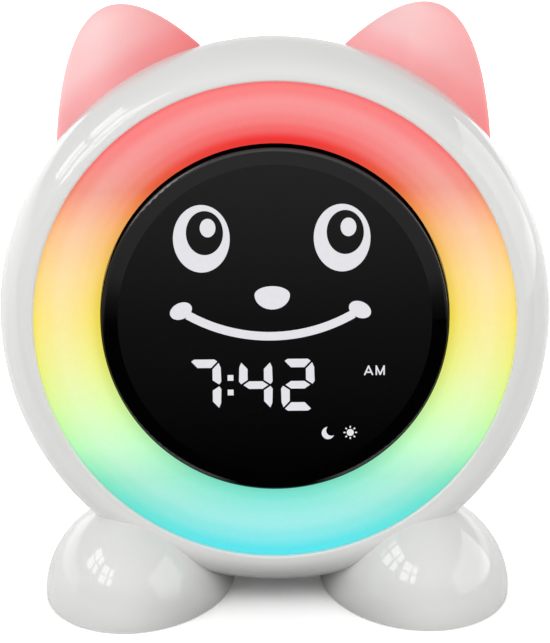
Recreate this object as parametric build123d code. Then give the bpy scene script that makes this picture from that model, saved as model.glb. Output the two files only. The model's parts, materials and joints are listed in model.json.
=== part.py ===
from build123d import *
import math
import os

# Children's alarm clock with a night-light ring, a lit face, two glowing ears and two feet.
# Units are millimetres. +Z is up, +X is to the right of somebody facing the clock, -Y is the
# front. The origin is under the middle of the clock, on the surface that it stands on.
#
# The case is drawn in its own frame and then leaned back: there x runs to the right, y runs up
# the face, z runs out of the face, and z = 0 is the parting plane between the two case halves,
# where the case is widest.

# ---- driving dimensions: the case ----
CASE_RADIUS = 66.0
CASE_LEAN = 6.8
CASE_HEIGHT = 69.5
CASE_Y = -3.19
WALL = 2.0
SEAM_DEPTH = 0.25

BEZEL_DEPTH = 15.2
BEZEL_CREST_RADIUS = 57.6
LIP_RADIUS = 57.0
LIP_Z = 14.65
LIP_UNDERSIDE_Z = 12.4
LIP_UNDERSIDE_RADIUS = 60.5
TONGUE_OUTER = 63.8
TONGUE_INNER = 62.4
TONGUE_LOW_Z = -2.0
TONGUE_HIGH_Z = 1.2

BACK_DEPTH = 36.0
BACK_FLAT_RADIUS = 40.0

# ---- light ring, tray and display panel ----
RING_OUTER = 56.85
RING_INNER = 41.75
RING_OUTER_Z = 13.9
RING_INNER_Z = 8.8
RING_FLANGE_RADIUS = 59.8
RING_FLANGE_LOW_Z = 10.6
RING_FLANGE_HIGH_Z = 12.3
RING_SKIRT_LOW_Z = 5.6
RING_THICKNESS = 2.0

PANEL_RADIUS = 41.4
PANEL_FACE_RADIUS = 37.2
PANEL_FACE_Z = 12.6
PANEL_BEVEL = (40.3, 12.15)
PANEL_WALL_Z = 10.6
PANEL_SKIRT_LOW_Z = 2.3
PANEL_SKIRT_INNER = 39.75
PANEL_UNDERSIDE_Z = 10.4

TRAY_LOW_Z = 0.6
TRAY_FLOOR_Z = 2.2
TRAY_OUTER = 58.6
TRAY_WALL = 1.4
TRAY_OUTER_WALL_Z = 10.5
TRAY_INNER_WALL_RADIUS = 45.2
TRAY_INNER_WALL_Z = 8.4

# ---- circuit boards ----
BOARD_THICKNESS = 1.6
RING_BOARD_INNER = 45.5
RING_BOARD_OUTER = 56.8
RING_LED_COUNT = 24
RING_LED_RADIUS = 51.2
RING_LED_SIZE = 3.5
RING_LED_HEIGHT = 1.6
DISPLAY_BOARD_RADIUS = 39.3
DISPLAY_BOARD_LOW_Z = 3.4
REFLECTOR_GAP = 0.1
LED_LENGTH = 1.0
LED_WIDTH = 0.5
LED_HEIGHT = 0.45
MAIN_BOARD_REAR_Z = -27.7
MAIN_BOARD_RADIUS = 37.0
MAIN_BOARD_TOP_Y = 0.5

# ---- the lit face, on the display panel ----
FACE_X = -0.6
EYE_SPACING = 33.1
EYE_Y = 19.75
EYE_WIDTH = 13.35
EYE_HEIGHT = 16.1
PUPIL_OFFSET = (0.75, 1.35)
PUPIL_WIDTH = 8.75
PUPIL_HEIGHT = 10.5
GLINT_OFFSET = (1.5, 2.55)
GLINT_WIDTH = 3.7
GLINT_HEIGHT = 4.42
NOSE_WIDTH = 8.35
NOSE_WIDEST_Y = 6.2
NOSE_TOP = 2.1
NOSE_BOTTOM = 3.5
MOUTH_X = -1.05
SMILE_HALF_WIDTH = 19.6
SMILE_END_Y = 1.5
SMILE_LOW_Y = -3.75
SMILE_STROKE = 2.05
CHEEK_HALF_SPACING = 21.15
CHEEK_Y = 2.5
CHEEK_LENGTH = 5.5
CHEEK_WIDTH = 3.85
CHEEK_TILT = 26.0

# ---- the time display ----
DIGIT_WIDTH = 7.98
DIGIT_HEIGHT = 12.6
SEGMENT_WIDTH = 2.05
SEGMENT_GAP = 0.45
DIGIT_CENTRE_Y = -15.55
DIGIT_LEFT_X = {"hour_tens": -30.8, "hour": -20.85, "minute_tens": -8.67, "minute": 1.3}
LIT_SEGMENTS = {"hour_tens": "", "hour": "abc", "minute_tens": "bcfg", "minute": "abdeg"}
DARK_SEGMENTS = {"hour_tens": "bc", "hour": "defg", "minute_tens": "ade", "minute": "cf"}
COLON_X = -10.68
COLON_SIZE = 1.38
COLON_Y = (-13.75, -17.3)
LETTER_HEIGHT = 2.4
LETTER_STROKE = 0.36
LETTER_A_X = 22.1
LETTER_M_X = 24.85
LETTER_WIDTH = 2.2
LETTER_BASE_Y = -13.4
MOON_CENTRE = (12.4, -27.4)
MOON_RADIUS = 1.5
SUN_CENTRE = (17.7, -27.3)
SUN_RADIUS = 0.85
SUN_RAY_COUNT = 8
SUN_RAY_START = 1.12
SUN_RAY_END = 1.62
SUN_RAY_WIDTH = 0.34

# ---- ears ----
EAR_BASE_ANGLE = 34.9
EAR_BASE_DISTANCE = 50.0
EAR_AXIS_ANGLE = 19.4
EAR_LENGTH = 33.4
EAR_HALF_WIDTH = 25.65
EAR_HALF_THICKNESS = 9.4
EAR_ROOT_LENGTH = 8.0
EAR_Z = -10.6
EAR_WALL = 1.8
EAR_SLOT_STEP = 1.2
EAR_SLOT_CLEARANCE = 0.15
EAR_FLANGE = 1.5
EAR_BOARD_SIZE = (16.0, 1.0, 8.0)
EAR_BOARD_DISTANCE = 6.0
EAR_LED_SPACING = 8.0
EAR_LED_SIZE = (3.5, 1.4, 2.8)
EAR_POST_RADIUS = 2.5
EAR_POST_HIGH_Z = -12.6

# ---- feet ----
FOOT_X = 33.6
FOOT_FORWARD = 1.46
FOOT_HALF_WIDTH = 22.65
FOOT_HALF_LENGTH = 32.2
FOOT_SPLAY = 9.7
FOOT_HEIGHT = 24.65
FOOT_SIDE = 0.4
FOOT_BULGE = 1.75
FOOT_LEAN = 0.4
FOOT_SECTION_ANGLES = (0.0, 12.0, 24.0, 36.0, 48.0, 60.0, 72.0, 83.0)
FOOT_WALL = 2.2
FOOT_LIFT = 0.15
PAD_THICKNESS = 1.5
PAD_CLEARANCE = 0.15
FOOT_SCREW_ANGLE = 31.0
FOOT_SCREW_Z = (-6.0, -14.0)
FOOT_BOSS_RADIUS = 3.4
FOOT_BOSS_LENGTH = 10.0
FOOT_SEAT_RADIUS = 3.2

# ---- screws ----
CASE_SCREW_RADIUS = 61.3
CASE_SCREW_ANGLES = (0.0, 90.0, 180.0, 270.0)
TRAY_SCREW_RADIUS = 61.3
TRAY_SCREW_ANGLES = (45.0, 135.0, 225.0, 315.0)
TRAY_ARM_LOW_Z = 1.4
TRAY_ARM_HIGH_Z = 2.9
BOSS_RADIUS = 2.4
BOSS_HIGH_Z = 10.5
SCREW_TUBE_RADIUS = 3.5
CASE_SCREW_SEAT_Z = -5.0
BOARD_POST_RADIUS = 2.6
BOARD_POST_SPOTS = ((-33.0, -10.0), (33.0, -10.0), (-23.5, -25.5), (23.5, -25.5))
CASE_SHANK_RADIUS = 1.2
SMALL_SHANK_RADIUS = 0.95
CLEAR_HOLE_RADIUS = 1.15
CROSS_RECESS = (0.45, 0.8)
SCREW_CLEARANCE = 0.05

# ---- rear controls, on the flat back ----
KEY_NAMES = ("mode", "set", "alarm", "light", "minus", "plus")
KEY_X = (17.0, 0.0, -17.0)
KEY_Y = (-7.5, -18.5)
KEY_WIDTH = 10.6
KEY_HEIGHT = 6.0
KEY_PROUD = 0.9
KEY_GAP = 0.3
KEY_TRAVEL = 0.6
KEY_FLANGE = 0.9
KEY_FLANGE_THICKNESS = 1.0
KEY_MARK_DEPTH = 0.3
KEY_MARK_SIZE = 3.4
KEY_MARK_LINE = 0.55
SWITCH_SIZE = 6.0
SWITCH_HEIGHT = 3.5
PLUNGER_RADIUS = 1.75
PLUNGER_GAP = 0.15
PORT_CENTRE = (10.0, -29.0)
PORT_WIDTH = 8.94
PORT_HEIGHT = 3.26
PORT_SHELL = 0.3
PORT_DEPTH = 7.7
SLIDER_CENTRE = (-10.0, -29.0)
SLIDER_TRAVEL = 2.0
SLIDER_KNOB = (3.6, 2.2)
SLIDER_PLATE = (8.4, 4.2)

# ---- speaker and battery ----
SPEAKER_Y = 18.5
SPEAKER_RADIUS = 15.0
CONE_RADIUS = 12.2
MAGNET_RADIUS = 8.0
GRILLE_RINGS = ((0.0, 1), (3.6, 6), (7.2, 12), (10.8, 18))
GRILLE_HOLE_RADIUS = 0.8
BATTERY_SIZE = (56.0, 34.0, 8.0)
BATTERY_CENTRE = (0.0, 5.0)
FOAM_THICKNESS = 1.0
WIRE_RADIUS = 0.6

# ---- places that follow from the driving dimensions ----
CASE_FRAME = Plane(
    origin=(0, CASE_Y, CASE_HEIGHT),
    x_dir=(1, 0, 0),
    z_dir=(0, -math.cos(math.radians(CASE_LEAN)), math.sin(math.radians(CASE_LEAN))),
)
FOOT_Y = CASE_Y - FOOT_FORWARD
BACK_Z = -BACK_DEPTH
BACK_INSIDE_Z = BACK_Z + WALL
MAIN_BOARD_FRONT_Z = MAIN_BOARD_REAR_Z + BOARD_THICKNESS
RING_BOARD_LOW_Z = TRAY_FLOOR_Z
RING_BOARD_HIGH_Z = RING_BOARD_LOW_Z + BOARD_THICKNESS
DISPLAY_BOARD_HIGH_Z = DISPLAY_BOARD_LOW_Z + BOARD_THICKNESS
SWITCH_REAR_Z = MAIN_BOARD_REAR_Z - SWITCH_HEIGHT
ON_BASE = (Align.CENTER, Align.CENTER, Align.MIN)


# ---- small building blocks ----
def rod(radius, low_z, high_z, x=0.0, y=0.0):
    return Pos(x, y, low_z) * Cylinder(radius, high_z - low_z, align=ON_BASE)


def block(size_x, size_y, low_z, high_z, x=0.0, y=0.0):
    return Pos(x, y, low_z) * Box(size_x, size_y, high_z - low_z, align=ON_BASE)


def rounded_block(size_x, size_y, corner, low_z, high_z, x=0.0, y=0.0):
    outline = Pos(x, y, low_z) * RectangleRounded(size_x, size_y, corner)
    return extrude(outline, high_z - low_z)


def collar(inner, outer, low_z, high_z, x=0.0, y=0.0):
    return rod(outer, low_z, high_z, x, y) - rod(inner, low_z - 1, high_z + 1, x, y)


def turned(*edges):
    """A solid of revolution about z, from edges drawn as (radius, z)."""
    return revolve(Plane.XZ * make_face(list(edges)), Axis.Z)


def quarter_oval(start, end, corner):
    """A quarter of an ellipse, from start to end, inside the given corner."""
    bend = 0.5523
    first = tuple(a + (c - a) * bend for a, c in zip(start, corner))
    second = tuple(b + (c - b) * bend for b, c in zip(end, corner))
    return Bezier(start, first, second, end)


def polar(radius, degrees):
    angle = math.radians(degrees)
    return radius * math.cos(angle), radius * math.sin(angle)


def group(solids):
    return Compound(list(solids))


def place(shape):
    """Leans a shape drawn in the case frame back, and lifts it to its height."""
    return CASE_FRAME.location * shape


def save(name, shape):
    export_step(shape, os.path.join("parts", name + ".step"))


# ---- case ----
def case_envelope(offset=0.0):
    """The outside of the closed case as one solid, grown or shrunk by an offset."""
    widest = CASE_RADIUS + offset
    front_z = BEZEL_DEPTH + offset
    back_z = BACK_Z - offset
    crest = (BEZEL_CREST_RADIUS, front_z)
    heel = (BACK_FLAT_RADIUS, back_z)
    return turned(
        Line((0, back_z), heel),
        quarter_oval(heel, (widest, 0), (widest, back_z)),
        quarter_oval((widest, 0), crest, (widest, front_z)),
        Line(crest, (0, front_z)),
        Line((0, front_z), (0, back_z)),
    )


def seam_groove():
    """The fine groove around the case where its two halves meet."""
    edge = CASE_RADIUS + SEAM_DEPTH
    bottom = (CASE_RADIUS - SEAM_DEPTH, 0)
    return turned(
        Line(bottom, (edge, 2 * SEAM_DEPTH)),
        Line((edge, 2 * SEAM_DEPTH), (edge, -2 * SEAM_DEPTH)),
        Line((edge, -2 * SEAM_DEPTH), bottom),
    )


def bezel_boss(degrees, radius, low_z):
    x, y = polar(radius, degrees)
    return rod(BOSS_RADIUS, low_z, BOSS_HIGH_Z, x, y) & case_envelope(-WALL / 2)


def front_bezel():
    inside = CASE_RADIUS - WALL
    inner_top = BEZEL_DEPTH - WALL
    widest = (CASE_RADIUS, 0)
    crest = (BEZEL_CREST_RADIUS, BEZEL_DEPTH)
    under_lip = (LIP_UNDERSIDE_RADIUS, LIP_UNDERSIDE_Z)
    wall_foot = (inside, TONGUE_HIGH_Z)
    shell = turned(
        quarter_oval(widest, crest, (CASE_RADIUS, BEZEL_DEPTH)),
        quarter_oval(crest, (LIP_RADIUS, LIP_Z), (LIP_RADIUS, BEZEL_DEPTH)),
        Line((LIP_RADIUS, LIP_Z), (LIP_RADIUS, LIP_UNDERSIDE_Z)),
        Line((LIP_RADIUS, LIP_UNDERSIDE_Z), under_lip),
        quarter_oval(under_lip, wall_foot, (inside, inner_top - 1.0)),
        Line(wall_foot, (TONGUE_INNER, TONGUE_HIGH_Z)),
        Line((TONGUE_INNER, TONGUE_HIGH_Z), (TONGUE_INNER, TONGUE_LOW_Z)),
        Line((TONGUE_INNER, TONGUE_LOW_Z), (TONGUE_OUTER, TONGUE_LOW_Z)),
        Line((TONGUE_OUTER, TONGUE_LOW_Z), (TONGUE_OUTER, 0)),
        Line((TONGUE_OUTER, 0), widest),
    )
    for degrees in TRAY_SCREW_ANGLES:
        x, y = polar(TRAY_SCREW_RADIUS, degrees)
        notch = rod(BOSS_RADIUS + 0.4, TONGUE_LOW_Z - 1, TRAY_ARM_HIGH_Z + 0.1, x, y)
        shell -= notch & case_envelope(-WALL)
    above_arm = TRAY_ARM_HIGH_Z + 0.1
    shell += [bezel_boss(degrees, CASE_SCREW_RADIUS, -3.0) for degrees in CASE_SCREW_ANGLES]
    shell += [bezel_boss(degrees, TRAY_SCREW_RADIUS, above_arm) for degrees in TRAY_SCREW_ANGLES]
    for degrees in CASE_SCREW_ANGLES:
        x, y = polar(CASE_SCREW_RADIUS, degrees)
        shell -= rod(CASE_SHANK_RADIUS + SCREW_CLEARANCE, -4.0, 8.0, x, y)
    for degrees in TRAY_SCREW_ANGLES:
        x, y = polar(TRAY_SCREW_RADIUS, degrees)
        shell -= rod(SMALL_SHANK_RADIUS + SCREW_CLEARANCE, 2.0, 9.4, x, y)
    return shell - seam_groove()


def screw_tube(degrees):
    x, y = polar(CASE_SCREW_RADIUS, degrees)
    return rod(SCREW_TUBE_RADIUS, BACK_Z, -3.1, x, y) & case_envelope(-WALL / 2)


def key_spots():
    """The six key centres, named from the upper left as seen from behind."""
    spots = [(x, y) for y in KEY_Y for x in KEY_X]
    return dict(zip(KEY_NAMES, spots))


def back_panel_openings():
    """What is cut through the flat back: keys, charging port, slide switch and grille."""
    low = BACK_Z - 2.0
    high = BACK_INSIDE_Z + 0.5
    cuts = []
    key_width = KEY_WIDTH + 2 * KEY_GAP
    key_height = KEY_HEIGHT + 2 * KEY_GAP
    for x, y in key_spots().values():
        cuts.append(rounded_block(key_width, key_height, 2.0, low, high, x, y))
    px, py = PORT_CENTRE
    cuts.append(rounded_block(PORT_WIDTH + 0.5, PORT_HEIGHT + 0.5, 1.8, low, high, px, py))
    sx, sy = SLIDER_CENTRE
    slot_length = SLIDER_KNOB[0] + SLIDER_TRAVEL + 0.5
    cuts.append(rounded_block(slot_length, SLIDER_KNOB[1] + 0.5, 0.5, low, high, sx, sy))
    for ring_radius, count in GRILLE_RINGS:
        for index in range(count):
            x, y = polar(ring_radius, 360.0 * index / count)
            cuts.append(rod(GRILLE_HOLE_RADIUS, low, high, x, y + SPEAKER_Y))
    return cuts


def rear_cover():
    inside = CASE_RADIUS - WALL
    widest = (CASE_RADIUS, 0)
    heel = (BACK_FLAT_RADIUS, BACK_Z)
    inner_heel = (BACK_FLAT_RADIUS, BACK_INSIDE_Z)
    shell = turned(
        quarter_oval(widest, heel, (CASE_RADIUS, BACK_Z)),
        Line(heel, (0, BACK_Z)),
        Line((0, BACK_Z), (0, BACK_INSIDE_Z)),
        Line((0, BACK_INSIDE_Z), inner_heel),
        quarter_oval(inner_heel, (inside, 0), (inside, BACK_INSIDE_Z)),
        Line((inside, 0), widest),
    )
    shell += [screw_tube(degrees) for degrees in CASE_SCREW_ANGLES]
    post_low = BACK_INSIDE_Z - 0.5
    shell += [rod(BOARD_POST_RADIUS, post_low, MAIN_BOARD_REAR_Z, x, y) for x, y in BOARD_POST_SPOTS]
    shell += collar(SPEAKER_RADIUS + 0.2, SPEAKER_RADIUS + 1.6, BACK_INSIDE_Z - 0.5, -30.5, 0, SPEAKER_Y)
    for side in (-1, 1):
        shell += ear_board_post(side)
        shell += [foot_screw_seat(side, screw_z) for screw_z in FOOT_SCREW_Z]
    for degrees in CASE_SCREW_ANGLES:
        x, y = polar(CASE_SCREW_RADIUS, degrees)
        shell -= rod(BOSS_RADIUS, BACK_Z, CASE_SCREW_SEAT_Z, x, y)
        shell -= rod(CASE_SHANK_RADIUS + SCREW_CLEARANCE, CASE_SCREW_SEAT_Z - 1, 0.0, x, y)
    for x, y in BOARD_POST_SPOTS:
        pilot_low = BACK_INSIDE_Z + 1.0
        shell -= rod(SMALL_SHANK_RADIUS + SCREW_CLEARANCE, pilot_low, MAIN_BOARD_REAR_Z + 1, x, y)
    for side in (-1, 1):
        shell -= ear_blank(side, EAR_SLOT_STEP - EAR_SLOT_CLEARANCE) - case_envelope(-WALL - 2.0)
        for screw_z in FOOT_SCREW_Z:
            shell -= foot_screw_line(side, screw_z) * Cylinder(CASE_SHANK_RADIUS + SCREW_CLEARANCE, 20)
    for cut in back_panel_openings():
        shell -= cut
    return shell - seam_groove()


# ---- light ring, tray and ring board ----
def light_ring():
    top = Bezier((RING_OUTER, RING_OUTER_Z), (54.0, 15.7), (46.0, 14.8), (RING_INNER, RING_INNER_Z))
    inner_foot = RING_INNER + RING_THICKNESS - 0.2
    under = Bezier((inner_foot, 8.2), (47.0, 12.9), (52.0, 13.1), (RING_OUTER - 1.8, RING_FLANGE_LOW_Z))
    return turned(
        top,
        Line((RING_INNER, RING_INNER_Z), (RING_INNER, RING_SKIRT_LOW_Z)),
        Line((RING_INNER, RING_SKIRT_LOW_Z), (inner_foot, RING_SKIRT_LOW_Z)),
        Line((inner_foot, RING_SKIRT_LOW_Z), (inner_foot, 8.2)),
        under,
        Line((RING_OUTER - 1.8, RING_FLANGE_LOW_Z), (RING_FLANGE_RADIUS, RING_FLANGE_LOW_Z)),
        Line((RING_FLANGE_RADIUS, RING_FLANGE_LOW_Z), (RING_FLANGE_RADIUS, RING_FLANGE_HIGH_Z)),
        Line((RING_FLANGE_RADIUS, RING_FLANGE_HIGH_Z), (RING_OUTER, RING_FLANGE_HIGH_Z)),
        Line((RING_OUTER, RING_FLANGE_HIGH_Z), (RING_OUTER, RING_OUTER_Z)),
    )


def ribbon_spot():
    return 0.0, -24.0


def light_tray():
    tray = rod(TRAY_OUTER, TRAY_LOW_Z, TRAY_FLOOR_Z)
    tray += collar(TRAY_OUTER - TRAY_WALL, TRAY_OUTER, TRAY_LOW_Z, TRAY_OUTER_WALL_Z)
    inner_wall = TRAY_INNER_WALL_RADIUS
    tray += collar(inner_wall - TRAY_WALL, inner_wall, TRAY_LOW_Z, TRAY_INNER_WALL_Z)
    shelf = DISPLAY_BOARD_RADIUS - 1.6
    tray += collar(shelf - TRAY_WALL, shelf, TRAY_LOW_Z, DISPLAY_BOARD_LOW_Z)
    for degrees in TRAY_SCREW_ANGLES:
        x, y = polar(TRAY_SCREW_RADIUS, degrees)
        arm_x, arm_y = polar(TRAY_OUTER - 1.0, degrees)
        arm = Rot(0, 0, degrees) * Box(6.0, 4.2, TRAY_ARM_HIGH_Z - TRAY_ARM_LOW_Z, align=ON_BASE)
        arm = Pos(arm_x, arm_y, TRAY_ARM_LOW_Z) * arm
        tray += rod(2.2, TRAY_ARM_LOW_Z, TRAY_ARM_HIGH_Z, x, y)
        tray += arm & collar(TRAY_OUTER - 1.0, TRAY_SCREW_RADIUS, 0.0, 4.0)
        tray -= rod(CLEAR_HOLE_RADIUS, 0.0, 4.0, x, y)
    rx, ry = ribbon_spot()
    tray -= block(13.0, 1.6, 0.0, 4.0, rx, ry)
    return tray


def ring_board():
    return collar(RING_BOARD_INNER, RING_BOARD_OUTER, RING_BOARD_LOW_Z, RING_BOARD_HIGH_Z)


def ring_leds():
    leds = []
    low = RING_BOARD_HIGH_Z
    for index in range(RING_LED_COUNT):
        degrees = 360.0 * index / RING_LED_COUNT
        x, y = polar(RING_LED_RADIUS, degrees)
        package = Box(RING_LED_SIZE, RING_LED_SIZE, RING_LED_HEIGHT, align=ON_BASE)
        package -= Pos(0, 0, RING_LED_HEIGHT - 0.5) * Cone(1.0, 1.4, 0.5, align=ON_BASE)
        leds.append(Pos(x, y, low) * Rot(0, 0, degrees) * package)
    return group(leds)


# ---- outlines of the lit face ----
def oval(width, height, x, y, tilt=0.0):
    return Pos(x, y) * Rot(0, 0, tilt) * Ellipse(width / 2, height / 2)


def eye_outlines(side):
    """The white of one eye with its pupil left out, and the glint inside the pupil."""
    x = FACE_X + side * EYE_SPACING / 2
    white = oval(EYE_WIDTH, EYE_HEIGHT, x, EYE_Y)
    pupil = oval(PUPIL_WIDTH, PUPIL_HEIGHT, x + PUPIL_OFFSET[0], EYE_Y + PUPIL_OFFSET[1])
    glint = oval(GLINT_WIDTH, GLINT_HEIGHT, x + GLINT_OFFSET[0], EYE_Y + GLINT_OFFSET[1])
    return [white - pupil, glint]


def nose_outline():
    half = NOSE_WIDTH / 2
    left = (FACE_X - half, NOSE_WIDEST_Y)
    right = (FACE_X + half, NOSE_WIDEST_Y)
    top = (FACE_X, NOSE_WIDEST_Y + NOSE_TOP)
    bottom = (FACE_X, NOSE_WIDEST_Y - NOSE_BOTTOM)
    return make_face([
        quarter_oval(left, top, (left[0], top[1])),
        quarter_oval(top, right, (right[0], top[1])),
        quarter_oval(right, bottom, (right[0], bottom[1])),
        quarter_oval(bottom, left, (left[0], bottom[1])),
    ])


def smile_outline():
    rise = SMILE_END_Y - SMILE_LOW_Y
    bend = (SMILE_HALF_WIDTH**2 + rise**2) / (2 * rise)
    centre = Pos(MOUTH_X, SMILE_LOW_Y + bend)
    band = Circle(bend + SMILE_STROKE / 2) - Circle(bend - SMILE_STROKE / 2)
    reach = 2 * bend
    spread = math.asin(SMILE_HALF_WIDTH / bend)
    wedge = make_face(Polyline(
        (0, 0),
        (-reach * math.sin(spread), -reach * math.cos(spread)),
        (reach * math.sin(spread), -reach * math.cos(spread)),
        (0, 0),
    ))
    mouth = centre * (band & wedge)
    for side in (-1, 1):
        x = MOUTH_X + side * CHEEK_HALF_SPACING
        mouth += oval(CHEEK_LENGTH, CHEEK_WIDTH, x, CHEEK_Y, -side * CHEEK_TILT)
    return mouth


def segment_outline(letter):
    """One segment of a seven-segment digit whose lower left corner is at 0, 0."""
    w, h, t = DIGIT_WIDTH, DIGIT_HEIGHT, SEGMENT_WIDTH
    middle = h / 2
    thin = 0.45 * t
    inner = t + 0.75 * SEGMENT_GAP
    across = [(0.9, h - 0.5), (1.6, h), (w - 1.6, h), (w - 0.9, h - 0.5), (w - inner, h - t), (inner, h - t)]
    upright = [(w - 0.58, h - 0.84), (w - 0.1, h - 2.0), (w, middle + 0.9), (w - 0.5, middle + 0.22)]
    upright += [(w - t, middle + 1.25), (w - t, h - inner)]
    bar = [(1.05, middle), (inner, middle + thin), (w - inner, middle + thin)]
    bar += [(w - 1.05, middle), (w - inner, middle - thin), (inner, middle - thin)]
    points = {"a": across, "d": across, "g": bar}.get(letter, upright)
    if letter in "ef":
        points = [(w - x, y) for x, y in points]
    if letter in "cde":
        points = [(x, h - y) for x, y in points]
    return make_face(Polyline(*points, close=True))


def digit_outlines(segments):
    outlines = []
    for digit, letters in segments.items():
        corner = Pos(DIGIT_LEFT_X[digit], DIGIT_CENTRE_Y - DIGIT_HEIGHT / 2)
        outlines += [corner * segment_outline(letter) for letter in letters]
    return outlines


def colon_outlines():
    return [Pos(COLON_X, y) * Rectangle(COLON_SIZE, COLON_SIZE) for y in COLON_Y]


def stroke(*points):
    """A letter stroke of even width along straight lines."""
    line = None
    for start, end in zip(points, points[1:]):
        length = math.dist(start, end)
        tilt = math.degrees(math.atan2(end[1] - start[1], end[0] - start[0]))
        middle = Pos((start[0] + end[0]) / 2, (start[1] + end[1]) / 2)
        piece = middle * Rot(0, 0, tilt) * SlotCenterToCenter(length, LETTER_STROKE)
        line = piece if line is None else line + piece
    return line


def letter_outlines():
    """The letters A and M of the morning indicator."""
    half = (LETTER_WIDTH - LETTER_STROKE) / 2
    low = LETTER_STROKE / 2
    top = LETTER_HEIGHT - LETTER_STROKE / 2
    bar = top * 0.34
    bar_half = half * (1 - bar / top)
    letter_a = stroke((-half, low), (0, top), (half, low)) + stroke((-bar_half, bar), (bar_half, bar))
    letter_m = stroke((-half, low), (-half, top), (0, low), (half, top), (half, low))
    return [Pos(LETTER_A_X, LETTER_BASE_Y) * letter_a, Pos(LETTER_M_X, LETTER_BASE_Y) * letter_m]


def moon_outline():
    x, y = MOON_CENTRE
    bite = Pos(x + 0.85, y + 0.62) * Circle(MOON_RADIUS * 0.86)
    return Pos(x, y) * Circle(MOON_RADIUS) - bite


def sun_outlines():
    x, y = SUN_CENTRE
    outlines = [Pos(x, y) * Circle(SUN_RADIUS)]
    middle = (SUN_RAY_START + SUN_RAY_END) / 2
    length = SUN_RAY_END - SUN_RAY_START
    for index in range(SUN_RAY_COUNT):
        degrees = 360.0 * index / SUN_RAY_COUNT
        ray_x, ray_y = polar(middle, degrees)
        ray = Rot(0, 0, degrees) * RectangleRounded(length, SUN_RAY_WIDTH, SUN_RAY_WIDTH * 0.4)
        outlines.append(Pos(x + ray_x, y + ray_y) * ray)
    return outlines


def window_outlines():
    """Every window of the display panel, by node name."""
    return {
        "left_eye_window": eye_outlines(-1),
        "right_eye_window": eye_outlines(1),
        "nose_window": [nose_outline()],
        "mouth_window": [smile_outline()],
        "lit_segments": digit_outlines(LIT_SEGMENTS),
        "dark_segments": digit_outlines(DARK_SEGMENTS),
        "colon_windows": colon_outlines(),
        "morning_window": letter_outlines(),
        "moon_window": [moon_outline()],
        "sun_window": sun_outlines(),
    }


# ---- display panel, its windows, reflector and board ----
def panel_blank():
    wall = (PANEL_RADIUS, PANEL_WALL_Z)
    edge = (PANEL_FACE_RADIUS, PANEL_FACE_Z)
    top = (0, PANEL_FACE_Z)
    return turned(
        Line(top, edge),
        Line(edge, PANEL_BEVEL),
        Bezier(PANEL_BEVEL, (41.1, 12.03), (PANEL_RADIUS, 11.75), wall),
        Line(wall, (PANEL_RADIUS, PANEL_SKIRT_LOW_Z)),
        Line((PANEL_RADIUS, PANEL_SKIRT_LOW_Z), (PANEL_SKIRT_INNER, PANEL_SKIRT_LOW_Z)),
        Line((PANEL_SKIRT_INNER, PANEL_SKIRT_LOW_Z), (PANEL_SKIRT_INNER, PANEL_UNDERSIDE_Z)),
        Line((PANEL_SKIRT_INNER, PANEL_UNDERSIDE_Z), (0, PANEL_UNDERSIDE_Z)),
        Line((0, PANEL_UNDERSIDE_Z), top),
    )


def prism(outline, low_z, high_z):
    return extrude(Pos(0, 0, low_z) * outline, high_z - low_z)


def display_pieces():
    """The panel with its window openings, the window inserts, and the reflector behind."""
    blank = panel_blank()
    panel = blank
    reflector_low = DISPLAY_BOARD_HIGH_Z + REFLECTOR_GAP
    reflector = rod(DISPLAY_BOARD_RADIUS, reflector_low, PANEL_UNDERSIDE_Z - REFLECTOR_GAP)
    windows = {}
    for name, outlines in window_outlines().items():
        plugs = []
        for outline in outlines:
            tool = prism(outline, 1.0, PANEL_FACE_Z + 2.0)
            plugs += (blank & tool).solids()
            panel -= tool
            reflector -= tool
        windows[name] = group(plugs)
    return panel, windows, reflector


def display_board():
    return rod(DISPLAY_BOARD_RADIUS, DISPLAY_BOARD_LOW_Z, DISPLAY_BOARD_HIGH_Z)


def smile_led_spots(count):
    rise = SMILE_END_Y - SMILE_LOW_Y
    bend = (SMILE_HALF_WIDTH**2 + rise**2) / (2 * rise)
    spread = math.degrees(math.asin(SMILE_HALF_WIDTH / bend))
    spots = []
    for index in range(count):
        x, y = polar(bend, 270.0 - spread + 2 * spread * index / (count - 1))
        spots.append((MOUTH_X + x, SMILE_LOW_Y + bend + y))
    return spots


def eye_led_spots(side):
    x = FACE_X + side * EYE_SPACING / 2
    spots = [(x, EYE_Y - 6.2), (x - 5.0, EYE_Y - 2.2), (x + 4.6, EYE_Y - 3.9), (x - 4.9, EYE_Y + 2.6)]
    return spots + [(x + GLINT_OFFSET[0], EYE_Y + GLINT_OFFSET[1])]


def segment_led_spots():
    """The middle of every segment, lit or dark."""
    spots = []
    for segments in (LIT_SEGMENTS, DARK_SEGMENTS):
        for outline in digit_outlines(segments):
            centre = outline.center()
            spots.append((centre.X, centre.Y))
    return spots


def display_leds():
    spots = eye_led_spots(-1) + eye_led_spots(1) + smile_led_spots(7) + segment_led_spots()
    spots += [(FACE_X, NOSE_WIDEST_Y - 0.6), SUN_CENTRE]
    spots += [(MOON_CENTRE[0] - 0.75, MOON_CENTRE[1] - 0.5)]
    spots += [(COLON_X, y) for y in COLON_Y]
    low = DISPLAY_BOARD_HIGH_Z
    return group(block(LED_LENGTH, LED_WIDTH, low, low + LED_HEIGHT, x, y) for x, y in spots)


# ---- ears ----
def ear_line(side, distance):
    """A place on the ear's own axis, with z along the axis towards the tip."""
    base = math.radians(EAR_BASE_ANGLE)
    lean = math.radians(EAR_AXIS_ANGLE)
    x = EAR_BASE_DISTANCE * math.sin(base) + distance * math.sin(lean)
    y = EAR_BASE_DISTANCE * math.cos(base) + distance * math.cos(lean)
    along = (side * math.sin(lean), math.cos(lean), 0)
    return Plane(origin=(side * x, y, EAR_Z), x_dir=(0, 0, 1), z_dir=along).location


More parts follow.
